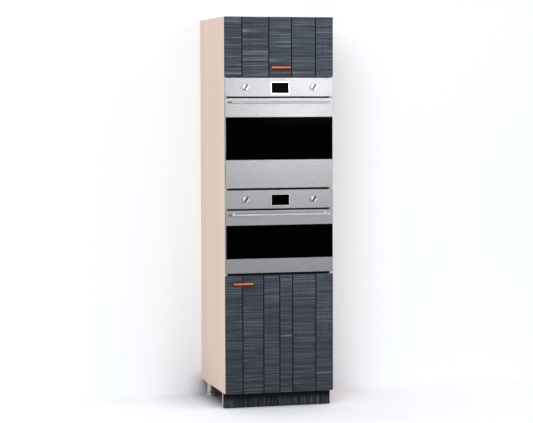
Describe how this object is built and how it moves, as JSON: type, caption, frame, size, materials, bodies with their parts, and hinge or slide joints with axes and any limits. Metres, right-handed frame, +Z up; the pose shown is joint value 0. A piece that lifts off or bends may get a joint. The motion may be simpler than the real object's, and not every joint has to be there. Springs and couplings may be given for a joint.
{
  "type": "tall oven housing unit",
  "caption": "Tall oven housing with a lift-up locker flap, two built-in ovens with drop-down doors, and a boarded cupboard door above a plinth.",
  "frame": {"origin": "on the floor, under the middle of the overall box", "axes": "+X to the right seen from the front, +Y to the wall, +Z up"},
  "size_m": [0.6, 0.63, 2.1],
  "materials": {
    "oak_board": "bleached oak, soft vertical grain",
    "blue_wood": "rough-sawn, dark blue-grey stain",
    "dark_plinth": "near-black stain",
    "oven_steel": "fine horizontal brushing",
    "fitting_zinc": "zinc-plated",
    "chrome": "polished",
    "black_metal": "satin black",
    "black_glass": "black glass, opaque from outside",
    "enamel": "dark speckled enamel",
    "galvanised": "galvanised sheet",
    "mineral_wool": "pressed wool",
    "copper": "satin copper",
    "seal_rubber": "matt",
    "black_plastic": "matt"
  },
  "bodies": {
    "housing": {"side_panel_left": "oak_board", "side_panel_right": "oak_board", "top_panel": "oak_board", "bottom_panel": "oak_board", "locker_shelf": "oak_board", "middle_oven_shelf": "oak_board", "lower_oven_shelf": "oak_board", "cupboard_shelf": "oak_board", "shelf_pins": "fitting_zinc", "back_panels": "oak_board", "back_rails": "oak_board", "cam_fasteners": "fitting_zinc", "wall_brackets": "fitting_zinc", "plinth_board": "dark_plinth", "plinth_clips": "black_plastic", "leg_columns": "chrome", "carcass_hinge_arms": "fitting_zinc", "stay_brackets": "fitting_zinc", "oven_seals": "seal_rubber", "upper_casing": "galvanised", "upper_insulation": "mineral_wool", "upper_cavity": "enamel", "upper_frame": "black_metal", "upper_control_panel": "oven_steel", "upper_display": "black_glass", "upper_fan_cover": "enamel", "upper_hinge_arms": "fitting_zinc", "lower_casing": "galvanised", "lower_insulation": "mineral_wool", "lower_cavity": "enamel", "lower_frame": "black_metal", "lower_control_panel": "oven_steel", "lower_display": "black_glass", "wire_racks": "chrome", "baking_tray": "enamel", "lower_hinge_arms": "fitting_zinc"},
    "flap": {"flap_panel": "blue_wood", "flap_pull": "copper", "flap_fittings": "fitting_zinc"},
    "stay_tubes": {"stay_tubes": "black_metal"},
    "stay_rods": {"stay_rods": "chrome"},
    "base_door": {"base_door_panel": "blue_wood", "base_door_pull": "copper", "base_door_cups": "fitting_zinc"},
    "upper_oven_door": {"upper_door_panel": "oven_steel", "upper_door_glass": "black_glass", "upper_door_inner": "enamel", "upper_bar_handle": "oven_steel"},
    "lower_oven_door": {"lower_door_panel": "oven_steel", "lower_door_glass": "black_glass", "lower_door_inner": "enamel", "lower_bar_handle": "oven_steel"},
    "upper_selector": {"upper_knob_left": "chrome"},
    "upper_thermostat": {"upper_knob_right": "chrome"},
    "lower_selector": {"lower_knob_left": "chrome"},
    "lower_thermostat": {"lower_knob_right": "chrome"},
    "foot_front_left": {"foot_front_left": "chrome"},
    "foot_front_right": {"foot_front_right": "chrome"},
    "foot_back_left": {"foot_back_left": "chrome"},
    "foot_back_right": {"foot_back_right": "chrome"}
  },
  "joints": [
    {"name": "flap_swing", "type": "hinge", "parent": "housing", "child": "flap", "pos_m": [0, -0.2585, 2.092], "axis": [-1, 0, 0], "range_deg": [0, 90]},
    {"name": "stay_tilt", "type": "hinge", "parent": "housing", "child": "stay_tubes", "pos_m": [0, -0.0185, 2.027], "axis": [-1, 0, 0], "range_deg": [0, 5.2]},
    {"name": "stay_slide", "type": "slide", "parent": "stay_tubes", "child": "stay_rods", "axis": [0, -0.9991, 0.042], "range_m": [0, 0.085]},
    {"name": "base_door_swing", "type": "hinge", "parent": "housing", "child": "base_door", "pos_m": [0.291, -0.2585, 0.403], "axis": [0, 0, 1], "range_deg": [0, 95], "stiffness_Nm_per_rad": 0.5, "springref_deg": -5.73},
    {"name": "upper_oven_door_drop", "type": "hinge", "parent": "housing", "child": "upper_oven_door", "pos_m": [0, -0.255, 1.1965], "axis": [1, 0, 0], "range_deg": [0, 90], "stiffness_Nm_per_rad": 4, "springref_deg": -14.32},
    {"name": "lower_oven_door_drop", "type": "hinge", "parent": "housing", "child": "lower_oven_door", "pos_m": [0, -0.255, 0.742], "axis": [1, 0, 0], "range_deg": [0, 90], "stiffness_Nm_per_rad": 4, "springref_deg": -14.32},
    {"name": "upper_selector_turn", "type": "hinge", "parent": "housing", "child": "upper_selector", "pos_m": [-0.188, -0.267, 1.72575], "axis": [0, 1, 0], "continuous": true},
    {"name": "upper_thermostat_turn", "type": "hinge", "parent": "housing", "child": "upper_thermostat", "pos_m": [0.188, -0.267, 1.72575], "axis": [0, 1, 0], "range_deg": [0, 270]},
    {"name": "lower_selector_turn", "type": "hinge", "parent": "housing", "child": "lower_selector", "pos_m": [-0.188, -0.267, 1.12775], "axis": [0, 1, 0], "continuous": true},
    {"name": "lower_thermostat_turn", "type": "hinge", "parent": "housing", "child": "lower_thermostat", "pos_m": [0.188, -0.267, 1.12775], "axis": [0, 1, 0], "range_deg": [0, 270]},
    {"name": "foot_front_left_screw", "type": "slide", "parent": "housing", "child": "foot_front_left", "axis": [0, 0, -1], "range_m": [0, 0.02]},
    {"name": "foot_front_right_screw", "type": "slide", "parent": "housing", "child": "foot_front_right", "axis": [0, 0, -1], "range_m": [0, 0.02]},
    {"name": "foot_back_left_screw", "type": "slide", "parent": "housing", "child": "foot_back_left", "axis": [0, 0, -1], "range_m": [0, 0.02]},
    {"name": "foot_back_right_screw", "type": "slide", "parent": "housing", "child": "foot_back_right", "axis": [0, 0, -1], "range_m": [0, 0.02]}
  ],
  "couplings": [
    {"joint": "stay_tilt", "follows": "flap_swing", "ratio": 0.05664},
    {"joint": "stay_slide", "follows": "flap_swing", "m_per_rad": 0.0537}
  ]
}
